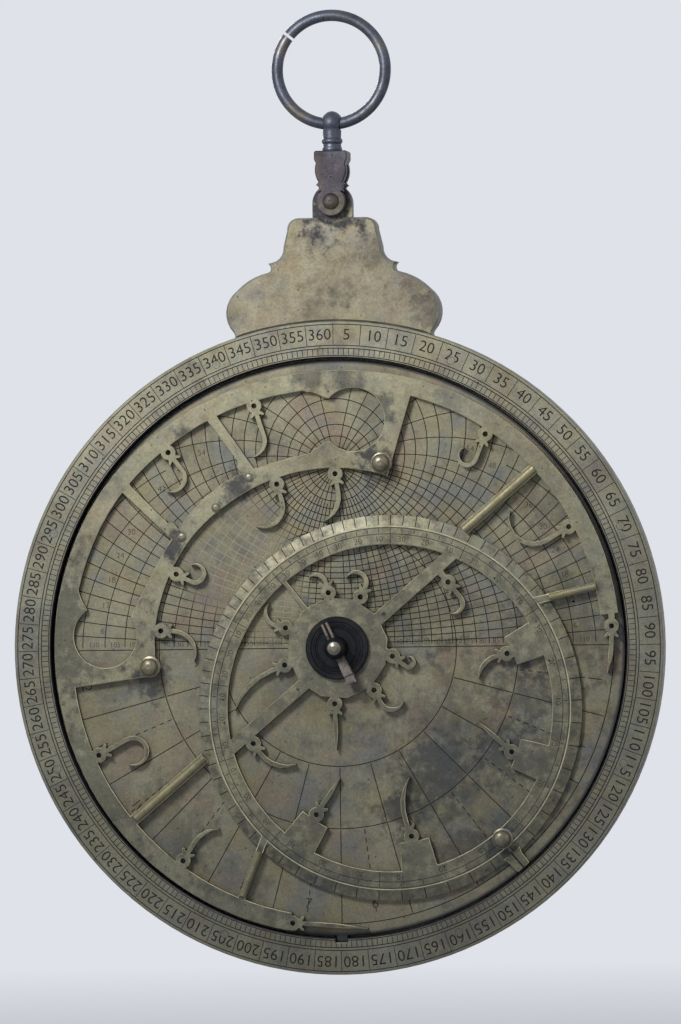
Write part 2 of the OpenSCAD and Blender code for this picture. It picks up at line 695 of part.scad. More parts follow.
// Sighting vane i: an upright plate with a large and a small sight hole
module vane(i) {
    half = alidade_w / 2 - 0.4;
    z = (i == 1 ? 1 : -1) * vane_x;
    color(BRASS) {
        vane_pegs(i, peg_r);
        translate([0, alidade_back, z - vane_t / 2]) difference() {
            linear_extrude(vane_t) polygon(concat(
                [[-half, 0], [half, 0], [half, vane_h - 5]],
                arc3([half - 1, vane_h - 4], [half * 0.6, vane_h - 2.6], [0, vane_h], 6),
                arc3([-0.01, vane_h], [-half * 0.6, vane_h - 2.6], [1 - half, vane_h - 4], 6),
                [[-half, vane_h - 5]]));
            for (h = sight_holes) translate([0, vane_h * h[0], -over])
                cylinder(r = h[1], h = vane_t + 2 * over, $fn = 24);
        }
    }
}

hung() suspension_ring();
hung() swivel_eye();
hung() yoke();
hung() yoke_rivet();
hung() throne();
for (i = [1:dowels])
    color(BRASS) hung() dowel(i, dowel_r);
hung() back_plate();
hung() rim();
for (i = [1:rim_rivets])
    color(DARK_BRASS) hung() rim_rivet(i, rim_rivet_r);
for (i = [1:plate_count])
    hung() latitude_plate(i);
hung() star_map();
for (i = [1:3])
    hung() knob(i);
for (i = [1:3])
    hung() strap_rivet(i);
for (i = [1:4])
    hung() map_rib(i);
hung() pin();
hung() washer();
hung() wedge();
hung() alidade();
for (i = [1, 2])
    hung() vane(i);
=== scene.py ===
# %% [markdown]
# # A hanging astrolabe of aged brass
# The solids of the astrolabe come ready made. This lesson turns them into worked metal:
# filed edges, engraved scales, patina and stains. A piece that needs nothing but a finish
# keeps its solid. A piece that is filed or engraved is made from a copy of its solid, and
# takes its place.

# %% Load the solids
import json
import math

import bmesh
import bpy
from mathutils import Matrix, Vector
from mathutils.kdtree import KDTree


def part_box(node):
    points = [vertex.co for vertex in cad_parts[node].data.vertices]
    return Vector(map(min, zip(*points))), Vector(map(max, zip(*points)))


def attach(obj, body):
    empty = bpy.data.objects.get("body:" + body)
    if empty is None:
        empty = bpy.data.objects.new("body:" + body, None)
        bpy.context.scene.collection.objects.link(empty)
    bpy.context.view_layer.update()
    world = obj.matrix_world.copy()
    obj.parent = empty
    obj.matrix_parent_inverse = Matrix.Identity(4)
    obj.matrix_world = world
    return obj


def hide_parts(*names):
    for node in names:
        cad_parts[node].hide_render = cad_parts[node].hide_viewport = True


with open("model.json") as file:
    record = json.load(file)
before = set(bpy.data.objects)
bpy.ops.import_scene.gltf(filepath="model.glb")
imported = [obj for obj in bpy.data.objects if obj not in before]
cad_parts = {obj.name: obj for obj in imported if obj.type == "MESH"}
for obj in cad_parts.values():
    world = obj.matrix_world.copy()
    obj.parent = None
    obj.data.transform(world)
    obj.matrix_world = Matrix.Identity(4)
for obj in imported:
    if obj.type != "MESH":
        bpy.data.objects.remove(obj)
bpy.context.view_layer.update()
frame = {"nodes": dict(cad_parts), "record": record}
MM = 0.001

# %% [markdown]
# ## Where things are
# Every front scale is drawn round the centre of the case. The rim tells where that is, and
# the solids tell the depth of each face, so no depth is written twice.

# %% Measure the faces
low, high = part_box("rim")
CENTRE = (low.z + high.z) / 2
RIM_R = (high.x - low.x) / 2 / MM
RIM_FACE = low.y
PLATE_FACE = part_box("plate_4")[0].y
MAP_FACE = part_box("star_map")[0].y
BACK_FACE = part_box("back_plate")[1].y
MAP_TURN = math.radians(49.6)
print("centre", round(CENTRE, 4), "rim radius", round(RIM_R, 2), "mm")


def polar(radius, degrees):
    """A point at an angle that runs clockwise from the top, as a dial is read."""
    a = math.radians(degrees)
    return radius * math.sin(a), radius * math.cos(a)


def on_map(x, z):
    """A point of the map's own drawing, turned to where the map stands."""
    return (x * math.cos(MAP_TURN) + z * math.sin(MAP_TURN),
        -x * math.sin(MAP_TURN) + z * math.cos(MAP_TURN))


# %% [markdown]
# ## Node helper
# A finish is a small tree of nodes. One function adds a node, sets its values, links its
# inputs and gives back its output, so each finish below reads as a list of steps. Colours
# are written as they look on a screen, and one function turns them to the linear values
# that the renderer counts in.


# %% Helpers for materials
def colour(code):
    parts = [int(code[i : i + 2], 16) / 255 for i in (1, 3, 5)]
    return [c / 12.92 if c <= 0.04045 else ((c + 0.055) / 1.055) ** 2.4 for c in parts] + [1]


def add(tree, kind, inputs=None, out=0, **settings):
    """Adds a node. A socket among the inputs is linked, and anything else is a value."""
    n = tree.nodes.new("ShaderNode" + kind)
    for key, value in settings.items():
        setattr(n, key, value)
    for key, value in (inputs or {}).items():
        if isinstance(value, bpy.types.NodeSocket):
            tree.links.new(value, n.inputs[key])
        elif isinstance(value, str):
            n.inputs[key].default_value = colour(value)
        else:
            n.inputs[key].default_value = value
    return n.outputs[out]


def new_finish(name):
    """A material, its tree, its shader and the place of each point on the object."""
    m = bpy.data.materials.new(name)
    m.use_nodes = True
    tree = m.node_tree
    return m, tree, tree.nodes["Principled BSDF"], add(tree, "TexCoord", out="Object")


# %% [markdown]
# ## Aged brass
# Brass that has hung for centuries isn't yellow. A thin brown and grey-green patina covers
# it, with blotches a few centimetres wide, freckles of a few millimetres and black pits a
# third of a millimetre across. Its hue drifts too: pinkish where copper shows, bluish where
# it is waxed, olive where it is damp. Each piece is also painted darker and greener towards
# the bottom, a painted shade of the light that falls from above.
# Where the patina is thin, the metal still shines through, so metallic follows the same
# pattern as the colour. Stains sit round the rivets and knobs, where damp stayed. A few dark
# marks are painted shade instead: round the throne's lug, between the yoke's cheeks, and on
# the wedge where it runs through the pin.


# %% Colour of the patina, and its pits
# Where the hue drifts to: the pink of copper, the blue of wax and the olive of damp
DRIFT_TINTS = ("#927A68", "#6C757C", "#94895C")


def patina_colour(tree, place, thick, pale, brown, dark, drift):
    """Pale where the patina is thin, brown and then dark where it is thick. Three noises of
    13 mm, one in each channel, carry the drift of hue."""
    tone = add(tree, "Mix", {0: add(tree, "MapRange", {0: thick, 1: 0.38, 2: 0.56}), 6: pale,
        7: brown}, 2, data_type="RGBA")
    tone = add(tree, "Mix", {0: add(tree, "MapRange", {0: thick, 1: 0.53, 2: 0.7, 4: 0.8}),
        6: tone, 7: dark}, 2, data_type="RGBA")
    drifts = add(tree, "SeparateColor", {0: add(tree, "TexNoise", {"Vector": place,
        "Scale": 1 / (13 * MM), "Detail": 7, "Roughness": 0.66}, out="Color")}).node.outputs
    for channel, tint in enumerate(DRIFT_TINTS):
        share = add(tree, "MapRange", {0: drifts[channel], 1: 0.5, 2: 0.62, 4: drift})
        tone = add(tree, "Mix", {0: share, 6: tone, 7: tint}, 2, data_type="RGBA")
    return tone


def pits_in(tree, place, pits):
    """1 inside a pit and 0 outside. Pits are cells of 1.9 mm, of which only those with a low
    random number count."""
    cells = add(tree, "TexVoronoi", {"Vector": place, "Scale": 1 / (1.9 * MM)}, out="Distance")
    few = add(tree, "SeparateColor", {0: cells.node.outputs["Color"]})
    return add(tree, "Math", {0: add(tree, "MapRange", {0: cells, 1: 0.07, 2: 0.16, 3: 1, 4: 0}),
        1: add(tree, "Math", {0: few, 1: pits * 0.35}, operation="LESS_THAN")},
        operation="MULTIPLY")


# %% Stains and dirt
# Colours of stains and painted shade, and of dirt and painted shade by the wall
STAIN_AND_SHADE_TONE, WALL_SHADE_AND_DIRT_TONE = "#1B1D2A", "#0E1020"


def stained(tree, place, tone, freckles, stains_and_shade, shade_and_dirt_from):
    """Darkens a colour in round marks, whose edges the freckles make ragged: stains, and in a
    few places painted shade. Outside a radius round the centre of the case it paints dirt and
    the shade of the wall."""
    flat_place = add(tree, "VectorMath", {0: place, 1: (1, 0, 1)}, operation="MULTIPLY")
    ragged = add(tree, "MapRange", {0: freckles, 1: 0.3, 2: 0.7, 3: 0.85, 4: -0.85})
    for x, z, radius, strength in stains_and_shade:
        away = add(tree, "VectorMath", {0: flat_place, 1: (x * MM, 0, z * MM + CENTRE)},
            "Value", operation="DISTANCE")
        edge = add(tree, "MapRange", {0: add(tree, "Math", {0: away, 1: 1 / (radius * MM),
            2: ragged}, operation="MULTIPLY_ADD"), 1: 0.55, 2: 1.35, 3: strength, 4: 0})
        tone = add(tree, "Mix", {0: edge, 6: tone, 7: STAIN_AND_SHADE_TONE}, 2, data_type="RGBA")
    # Dirt and painted shade: beyond a radius the piece is painted nearly black, where the gap by
    # the wall lies in shade
    if shade_and_dirt_from:
        from_centre = add(tree, "VectorMath", {0: flat_place, 1: (0, 0, CENTRE)}, "Value",
            operation="DISTANCE")
        dirt = add(tree, "MapRange", {0: from_centre, 1: shade_and_dirt_from * MM,
            2: (shade_and_dirt_from + 0.7) * MM, 4: 0.94})
        tone = add(tree, "Mix", {0: dirt, 6: tone, 7: WALL_SHADE_AND_DIRT_TONE}, 2, data_type="RGBA")
    return tone


# %% A finish of patinated brass
# The grey-green of the painted shade towards the bottom, and the black of pits
LOW_SHADE_TONE, PIT_TONE = "#383F3C", "#23211C"


def patinated(name, pale, brown, dark, shine=0.36, rough=0.42, blotch=24, stains_and_shade=(), pits=0.3,
        painted_low_shade=0.3, drift=0.3, shade_and_dirt_from=None):
    """pale, brown and dark are the patina's colours. stains_and_shade lists (x, z, radius,
    strength) of stains and of painted shade, and shade_and_dirt_from is the radius in mm beyond
    which the piece is painted black with dirt and the shade of the wall."""
    m, tree, surface, place = new_finish(name)
    blotches = add(tree, "TexNoise", {"Vector": place, "Scale": 1 / (blotch * MM), "Detail": 5,
        "Roughness": 0.62})
    freckles = add(tree, "TexNoise", {"Vector": place, "Scale": 1 / (3.2 * MM), "Detail": 6,
        "Roughness": 0.68})
    grain = add(tree, "TexNoise", {"Vector": place, "Scale": 1 / (0.6 * MM), "Detail": 2})
    # Blotches and freckles together decide how thick the patina is
    thick = add(tree, "Mix", {0: 0.4, 2: blotches, 3: freckles})
    tone = patina_colour(tree, place, thick, pale, brown, dark, drift)
    tone = stained(tree, place, tone, freckles, stains_and_shade, shade_and_dirt_from)
    # Painted shade: darker and greener towards the bottom, as the light falls from above
    depth = add(tree, "SeparateXYZ", {0: place}, "Z")
    lower_shade_share = add(tree, "MapRange", {0: depth, 1: -0.085, 2: -0.23, 4: painted_low_shade})
    tone = add(tree, "Mix", {0: lower_shade_share, 6: tone, 7: LOW_SHADE_TONE}, 2, data_type="RGBA")
    pit = pits_in(tree, place, pits)
    tone = add(tree, "Mix", {0: add(tree, "Math", {0: pit, 1: 0.85}, operation="MULTIPLY"),
        6: tone, 7: PIT_TONE}, 2, data_type="RGBA")
    speckle = add(tree, "MapRange", {0: grain, 1: 0.3, 2: 0.7, 3: 0.84, 4: 1.16})
    tone = add(tree, "Mix", {0: 1.0, 6: tone, 7: add(tree, "CombineColor",
        {0: speckle, 1: speckle, 2: speckle})}, 2, data_type="RGBA", blend_type="MULTIPLY")
    height = add(tree, "Mix", {0: 0.3, 2: freckles, 3: grain})
    height = add(tree, "Math", {0: pit, 1: -0.8, 2: height}, operation="MULTIPLY_ADD")
    bump = add(tree, "Bump", {"Height": height, "Strength": 0.5, "Distance": 0.14 * MM})
    tree.links.new(tone, surface.inputs["Base Color"])
    tree.links.new(bump, surface.inputs["Normal"])
    tree.links.new(add(tree, "MapRange", {0: thick, 1: 0.4, 2: 0.66, 3: shine, 4: shine * 0.5}),
        surface.inputs["Metallic"])
    tree.links.new(add(tree, "MapRange", {0: freckles, 1: 0.3, 2: 0.7, 3: rough,
        4: rough + 0.2}), surface.inputs["Roughness"])
    return m


# %% [markdown]
# ## One finish for each kind of piece
# The pieces were cast, hammered or turned, of brass and of bronze, and each has aged in its
# own way. So each gets the same recipe, with colours, a blotch size in mm and a shine of its
# own. Most stains lie where the real ones do, round rivets and knobs. The marks round the
# throne's lug and at the wedge's pin are painted shade, and the four broadest marks on the
# map only darken its left side and lower half.

# %% Finishes of brass and bronze
# Hammered brass that hands have browned: grey-brown, with broad blotches
RIM_BRASS = patinated("aged_rim_brass", "#A29D85", "#868370", "#504F46", blotch=26,
    painted_low_shade=0.4)
# Thick cast brass: browner and pitted. Round the lug it is painted nearly black, a painted shade
# between the yoke's cheeks
THRONE_BRASS = patinated("aged_throne_brass", "#9A9279", "#857C65", "#4C4537", blotch=10,
    pits=0.8, painted_low_shade=0.1, stains_and_shade=[(0, 126, 9, 0.75), (0, 126, 10.5, 0.75),
    (-4, 113, 4, 0.35), (14, 110, 6, 0.35), (25, 100, 5, 0.3), (2, 97, 3, 0.35),
    (27.5, 92, 5, 0.5)])
# Brass sheet kept under the map: nearly matt and stained, and by the wall painted black with
# dirt and the shade of the gap
PLATE_SHADE_AND_DIRT_R = 78.2
PLATE_BRASS = patinated("stained_plate_brass", "#A09A7E", "#89846C", "#55544A", shine=0.16,
    rough=0.46, blotch=22, drift=0.5, shade_and_dirt_from=PLATE_SHADE_AND_DIRT_R, stains_and_shade=[(28, -36, 10, 0.5),
    (46, -30, 8, 0.5), (34, -56, 7, 0.4), (52, -14, 8, 0.4), (16, -46, 5, 0.55),
    (38, -34, 28, 0.3), (64, 4, 14, 0.35), (20, 14, 15, 0.25), (12, 48, 4, 0.6),
    (-27, 45, 4, 0.6), (-53, -8, 5, 0.7), (60, 40, 9, 0.35), (-48, -50, 12, 0.25)])
# Sawn brass sheet that fingers turn: the palest brass, with dark rings round the rivets.
# The two stains given on the map's own drawing are small dark marks beside the hub.
# The four marks of 18 mm and more only darken the map's left side and lower half
MAP_STAINS_AND_DARKENING = [(10.6, 52.4, 4, 0.85), (-27, 45, 3.6, 0.8), (-45, 29.4, 3.4, 0.8),
    (-53.5, -7.2, 3.6, 0.7), (43.8, -53.4, 3.8, 0.8), (13, 66, 3.5, 0.6), (-7, 75, 5, 0.55),
    (4, 74, 4, 0.45), (-42, 60, 2.6, 0.7), (-77, 6, 18, 0.55), (-66, -40, 22, 0.4),
    (-30, -74, 18, 0.3), (*on_map(1.4, 15.9), 0.55, 0.95), (*on_map(1.4, -15.9), 0.55, 0.95),
    (18, -28, 52, 0.42)]
MAP_BRASS = patinated("handled_map_brass", "#ABA687", "#928D73", "#59564A", blotch=14,
    pits=0.6, stains_and_shade=MAP_STAINS_AND_DARKENING, drift=0.25, painted_low_shade=0.42)
# Turned knobs that fingers rub: bare metal with small bright highlights
KNOB_BRASS = patinated("rubbed_knob_brass", "#97907D", "#79725F", "#3D3930", blotch=4,
    shine=0.8, rough=0.26, painted_low_shade=0.1, drift=0.3)
# Bronze of the ring and the eye: blue-black with a soft gleam
BRONZE = patinated("dark_bronze", "#5B5F6B", "#484B56", "#2A2B32", shine=0.85, rough=0.34,
    blotch=9, pits=0.5, painted_low_shade=0, drift=0.2)
# Bronze of the yoke: cast rougher, darker still, and a little purple
YOKE_BRONZE = patinated("yoke_bronze", "#4B474D", "#39353C", "#1B1A20", shine=0.8, rough=0.4,
    blotch=5, pits=0.8, painted_low_shade=0, drift=0.25)
# Brass blackened over a flame: black, with the blurred gleam of metal
BLACKENED = patinated("blackened_washer_brass", "#1E1E25", "#16161C", "#0C0C10", shine=1.0,
    rough=0.36, blotch=8, drift=0.05)
# Filed brass of the wedge: warm and dull, and painted black with shade where it runs through the
# pin
WEDGE_BRASS = patinated("wedge_brass", "#8B8075", "#726860", "#3A3631", blotch=5,
    stains_and_shade=[(0, 0, 4.5, 0.85), (4.6, -10.2, 1.2, 0.8)], drift=0.2)
# Hammered brass of the back: as the rim's, and a little yellower
BACK_BRASS = patinated("aged_back_brass", "#9A9478", "#837E66", "#545244", blotch=28)
# Brass of the sighting bar, its vanes and the ribs: the yellowest, kept clean by use
BAR_BRASS = patinated("sighting_bar_brass", "#A89F78", "#918965", "#5A553F", blotch=20)
print(len(bpy.data.materials), "finishes so far")

# %% [markdown]
# ## Worn edges and filled grooves
# An edge is where fingers rub, so its patina is gone and it shines pale. On the star map and
# the sighting bar the edges are painted paler still, a painted highlight. A groove is where
# nobody rubs, so wax and dirt fill it nearly black. On the plate some grooves are painted
# pale instead, a painted highlight where they catch the light. The star map's side walls take
# the grooves' dark too, as dirt and painted shade. Edges and grooves are materials of their
# own, given to the faces that a file or a cut leaves behind.


# %% Plain finishes for edges and grooves
def plain_metal(name, base, metallic, rough, grain_mm, spread, brightened=()):
    """One colour that varies by spread over grains of a size in mm. brightened lists
    (x, z, radius) in mm of places painted pale, a painted highlight where grooves catch light."""
    m, tree, surface, place = new_finish(name)
    noise = add(tree, "TexNoise", {"Vector": place, "Scale": 1 / (grain_mm * MM), "Detail": 4})
    level = add(tree, "MapRange", {0: noise, 1: 0.3, 2: 0.7, 3: 1 - spread, 4: 1 + spread})
    tone = add(tree, "Mix", {0: 1.0, 6: base, 7: add(tree, "CombineColor",
        {0: level, 1: level, 2: level})}, 2, data_type="RGBA", blend_type="MULTIPLY")
    # Painted highlight: near these places the grooves are painted pale, where they catch the
    # light
    for x, z, radius in brightened:
        away = add(tree, "VectorMath", {0: place, 1: (x * MM, PLATE_FACE, z * MM + CENTRE)},
            "Value", operation="DISTANCE")
        share = add(tree, "MapRange", {0: away, 1: radius * MM * 0.6, 2: radius * MM * 1.2,
            3: 0.9, 4: 0})
        tone = add(tree, "Mix", {0: share, 6: tone, 7: "#B4B09B"}, 2, data_type="RGBA")
    tree.links.new(tone, surface.inputs["Base Color"])
    surface.inputs["Metallic"].default_value = metallic
    tree.links.new(add(tree, "MapRange", {0: noise, 1: 0.3, 2: 0.7, 3: rough - 0.08,
        4: rough + 0.1}), surface.inputs["Roughness"])
    return m


# Brass bared by rubbing, and painted paler as a highlight: pale yellow with a broad shine
WORN_AND_HIGHLIGHT_EDGE = plain_metal("worn_edge_brass_and_highlight", "#C6BE9B", 0.7, 0.38, 2.5, 0.25)
# A rubbed edge that has dulled again: grey, little brighter than the face beside it
DULL_EDGE = plain_metal("dull_edge_brass", "#86857A", 0.6, 0.45, 3, 0.25)
# Wax and dirt packed in a groove: brown-black and matt. On the star map's side walls it is dirt
# and painted shade
GROOVE = plain_metal("groove_dirt_and_wall_shade", "#1F1D17", 0.05, 0.8, 1.2, 0.3)
# The same dirt on the plate, painted pale in two places: a painted highlight where the grooves
# catch the light
PLATE_GROOVE_DIRT_AND_HIGHLIGHT = plain_metal("plate_groove_highlight_and_dirt", "#262314", 0.05, 0.8, 1.2, 0.3,
    brightened=[(-28, 26, 16), (-18, 12, 10)])
# Soot and painted shade in the gap inside the rim: blue-black, with no shine
GAP_SOOT_AND_SHADE = plain_metal("gap_soot_and_shade", "#0F1122", 0.0, 0.8, 2, 0.3)
print(len(bpy.data.materials), "finishes")

# %% [markdown]
# ## Filing an edge
# The solids have edges as sharp as a drawing. Real ones are filed: a face a fifth of a
# millimetre wide runs along each. The copy of a solid is merged first, because its
# triangles are loose. Then the flat front is inset, as with the key I in edit mode, and
# its old outline sinks by the width of the inset. Where a pointer is thinner than the
# file is wide, the inset is drawn back, or its two sides would cross.


# %% Select one object, and copy a solid to work on
# A worked piece has a material for its faces, one for filed edges and one for grooves, which
# also paints dirt and shade on the star map's walls
FACE, EDGE, DIRT_AND_SHADE = 0, 1, 2
# Corners closer than this, in metres, are one corner
SAME_CORNER = 0.000002


def only(piece):
    bpy.ops.object.select_all(action="DESELECT")
    bpy.context.view_layer.objects.active = piece
    piece.select_set(True)


def apply(piece, kind, **settings):
    only(piece)
    m = piece.modifiers.new(kind.title(), kind)
    for key, value in settings.items():
        setattr(m, key, value)
    bpy.ops.object.modifier_apply(modifier=m.name)


def merge_all(piece, closed=False):
    """Merges the corners of a piece that lie together, and turns a closed one's faces out."""
    only(piece)
    bpy.ops.object.mode_set(mode="EDIT")
    bpy.ops.mesh.select_all(action="SELECT")
    bpy.ops.mesh.remove_doubles(threshold=SAME_CORNER)
    if closed:
        bpy.ops.mesh.normals_make_consistent(inside=False)
    bpy.ops.object.mode_set(mode="OBJECT")


def room_beside(outline, depth, width):
    """How far each corner of an outline is from the next part of the outline, by place."""
    tree = KDTree(len(outline))
    for i, v in enumerate(outline):
        tree.insert(v.co, i)
    tree.balance()
    room = {}
    for v in outline:
        near = {e.other_vert(v) for e in v.link_edges}
        near |= {e.other_vert(n) for n in list(near) for e in n.link_edges
            if e.calc_length() < 4 * width}
        others = [d for c, i, d in tree.find_range(v.co, 4 * width)
            if outline[i] is not v and outline[i] not in near]
        sides = [e.calc_length() for e in v.link_edges if e.other_vert(v) in near
            and any(abs(f.normal.y) < 0.99 for f in e.link_faces)
            and abs(e.other_vert(v).co.y - depth) < 1e-6]
        room[tuple(v.co)] = min(others + [1.6 * s for s in sides], default=4 * width)
    return room


def file_face(piece, depth, outward, width):
    """Files the outline of every flat face of a piece that lies at a depth, in metres. A
    corner goes in by 0.36 of the room beside it at most, and sinks by half of it at most."""
    bm = bmesh.new()
    bm.from_mesh(piece.data)
    flat = [f for f in bm.faces if f.normal.y * outward > 0.99
        and abs(f.calc_center_median().y - depth) < 1e-5]
    outline = [v for v in {v for f in flat for v in f.verts} if any(
        abs(f.normal.y) < 0.99 for f in v.link_faces)]
    room = room_beside(outline, depth, width)
    made = bmesh.ops.inset_region(bm, faces=flat, thickness=width, use_even_offset=True,
        use_boundary=True)["faces"]
    inner = {v for f in flat for v in f.verts}
    outer = {v for f in made for v in f.verts} - inner
    made = set(made)
    for f in made:
        f.material_index = EDGE
    for v in outer:
        if any(0.3 < abs(f.normal.y) < 0.99 for f in v.link_faces if f not in made):
            continue
        most = min(1.5 * width, 0.36 * room[tuple(v.co)])
        for n in [n for e in v.link_edges for n in (e.other_vert(v),) if n in inner]:
            step = n.co - v.co
            if step.length > most:
                n.co = v.co + step.normalized() * most
        v.co.y -= outward * min(width, room[tuple(v.co)] / 2)
    bm.to_mesh(piece.data)
    bm.free()


def worked_copy(node, name, finish, edge=None, filed=0.0, sides=(-1,), groove=GROOVE):
    """A merged copy of a solid, without the normals that it came with, because they don't
    fit the faces that a file or a cut leaves. filed is the width in mm of the file's mark
    along the outlines of its outermost flat faces, on the sides -1, front, and 1, back."""
    piece = bpy.data.objects.new(name, frame["nodes"][node].data.copy())
    bpy.context.scene.collection.objects.link(piece)
    piece.data.name = name
    piece.data.materials.clear()
    for m in (finish, edge or finish, groove):
        piece.data.materials.append(m)
    merge_all(piece)
    bpy.ops.mesh.customdata_custom_splitnormals_clear()
    piece.data.polygons.foreach_set("material_index", [FACE] * len(piece.data.polygons))
    if filed:
        for outward in sides:
            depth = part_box(node)[0 if outward < 0 else 1].y
            file_face(piece, depth, outward, filed * MM)
    return piece


def finished(piece, node, flat=0.9999):
    """Shades a worked copy and puts it in its solid's place, on the same body. Faces that
    look forward by more than flat aren't smoothed, because engraving splits them."""
    only(piece)
    bpy.ops.object.shade_smooth_by_angle(angle=math.radians(32))
    for p in piece.data.polygons:
        if abs(p.normal.y) > flat:
            p.use_smooth = False
    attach(piece, next(b for b, names in frame["record"]["behaviour"]["bodies"].items()
        if node in names))
    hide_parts(node)
    print(piece.name, len(piece.data.polygons), "faces")


# %% [markdown]
# ## Engraving
# A graver leaves a groove in the shape of a V. The tool here is a wire with a square
# section that lies half sunk in the face, edge down, so the cut that it leaves is a V as
# deep as it is half wide. Many wires are cut at once if none of them cross. Lines that
# cross are cut in two goes. Faces of the cut keep the third material, the dirt. The face is
# first split into squares, because a large face with hundreds of holes shades badly.


# %% Split a face, and make wires
# A bisect takes corners nearer than this, in metres, as lying on its plane
ON_PLANE = 2e-7
# The squares' sides keep off the middle, where lines of the scales lie, by this share
OFF_MIDDLE = 0.37
# Drawings are made flat on the ground, and this stands them up to face the front
UPRIGHT = Matrix.Rotation(math.pi / 2, 4, "X")


def split_faces(piece, pitch, places):
    """Bisects a piece by planes across and along, pitch mm apart, and once more through
    each number of places, so that no face holds a whole number."""
    bm = bmesh.new()
    bm.from_mesh(piece.data)
    for axis, middle in ((0, 0.0), (2, CENTRE)):
        for k in range(-int(RIM_R / pitch), int(RIM_R / pitch) + 1):
            place, normal = Vector(), Vector()
            place[axis] = middle + (k + OFF_MIDDLE) * pitch * MM
            normal[axis] = 1
            bmesh.ops.bisect_plane(bm, geom=bm.verts[:] + bm.edges[:] + bm.faces[:],
                dist=ON_PLANE, plane_co=place, plane_no=normal)
    for text, x, z, turn, size in places:
        spot = Vector((x * MM, 0, z * MM + CENTRE))
        near = [f for f in bm.faces if abs(f.normal.y) > 0.9
            and (f.calc_center_median().xz - spot.xz).length < (size + pitch) * MM]
        t = math.radians(turn)
        bmesh.ops.bisect_plane(bm, geom=near + list({e for f in near for e in f.edges})
            + list({v for f in near for v in f.verts}), dist=ON_PLANE, plane_co=spot,
            plane_no=(math.sin(t), 0, math.cos(t)))
    bm.to_mesh(piece.data)
    bm.free()


def wires(name, paths, depth, width):
    """Square wires along paths of (points, closed). A point is (x, z) in mm from the centre,
    and may have a third value, how far it lies below the face."""
    curve = bpy.data.curves.new(name, "CURVE")
    curve.dimensions = "3D"
    curve.twist_mode = "Z_UP"
    curve.bevel_depth = width / 2 * MM
    curve.bevel_resolution = 0
    curve.use_fill_caps = True
    for points, closed in paths:
        spline = curve.splines.new("POLY")
        spline.points.add(len(points) - 1)
        for p, (x, z, *sunk) in zip(spline.points, points):
            p.co = (x * MM, z * MM, -sum(sunk) * MM, 1)
        spline.use_cyclic_u = closed
    tool = bpy.data.objects.new(name, curve)
    bpy.context.scene.collection.objects.link(tool)
    only(tool)
    bpy.ops.object.convert(target="MESH")
    tool.data.transform(Matrix.Translation((0, depth, CENTRE)) @ UPRIGHT)
    return tool


# %% [markdown]
# ## Numbers
# A graver writes a number as thin strokes, but a font's outline is filled. So each number is
# a text, drawn thinner than the font has it, raised to a block that lies half sunk in the
# face, and turned to face outwards from the centre. All the numbers of a scale cut at once.

# %% Make numbers, and cut
NUMBER_DEPTH = 0.16


def numerals(name, places, depth, back=False, bold=-0.0165):
    """Numbers as blocks that cut into the face. places lists (text, x, z, turn, size), and
    bold is how far the outline grows, as a share of the size."""
    face = Matrix.Rotation(math.pi, 4, "Z") if back else Matrix.Identity(4)
    made = []
    for text, x, z, turn, size in places:
        bpy.ops.object.select_all(action="DESELECT")
        bpy.ops.object.text_add()
        t = bpy.context.object
        t.data.body = str(text)
        t.data.size = size * MM
        t.data.align_x = t.data.align_y = "CENTER"
        t.data.extrude = NUMBER_DEPTH * MM
        t.data.offset = bold * size * MM
        t.data.resolution_u = 3
        bpy.ops.object.convert(target="MESH")
        t.data.transform(Matrix.Translation((x * MM, depth, CENTRE + z * MM))
            @ Matrix.Rotation(math.radians(turn), 4, "Y") @ face @ UPRIGHT)
        made.append(t)
    bpy.ops.object.select_all(action="DESELECT")
    for t in made:
        t.select_set(True)
    bpy.context.view_layer.objects.active = made[0]
    bpy.ops.object.join()
    made[0].name = name
    return made[0]


def engrave(piece, tool):
    """Cuts a tool out of a piece. The cut's faces take the material of dirt."""
    merge_all(tool, closed=True)
    tool.data.materials.clear()
    for m in piece.data.materials:
        tool.data.materials.append(m)
    tool.data.polygons.foreach_set("material_index", [DIRT_AND_SHADE] * len(tool.data.polygons))
    before = len(piece.data.polygons)
    apply(piece, "BOOLEAN", operation="DIFFERENCE", object=tool, solver="MANIFOLD")
    print(piece.name, "less", tool.name, "has", len(piece.data.polygons), "faces, from", before)
    bpy.data.objects.remove(tool)


def ring(radius, pieces=180, cx=0.0, cz=0.0):
    """A closed path round a centre, for wires()."""
    return [(cx + radius * math.sin(2 * math.pi * i / pieces),
        cz + radius * math.cos(2 * math.pi * i / pieces)) for i in range(pieces)], True


def radial(inner, outer, degrees):
    """A tick from radius to radius, for wires()."""
    return [polar(inner, degrees), polar(outer, degrees)], False


# %% [markdown]
# ## The rim's scale
# The rim counts 360 degrees clockwise from the top. A band of degree ticks runs inside, and
# a number stands in each field of five degrees. Its inner wall is painted black, with soot
# and the shade of the deep gap.

# %% Engrave the rim
RIM_CIRCLES = (80.5, 82.5, 83.3, 89.1)
DEGREE_TICK = (80.7, 82.4)
FIELD_TICK = (83.5, 88.95)
RIM_NUMBERS_R, RIM_NUMBER_SIZE = 86.2, 4.4
rim = worked_copy("rim", "engraved_rim", RIM_BRASS, DULL_EDGE, 0.22)
rim.data.materials.append(GAP_SOOT_AND_SHADE)
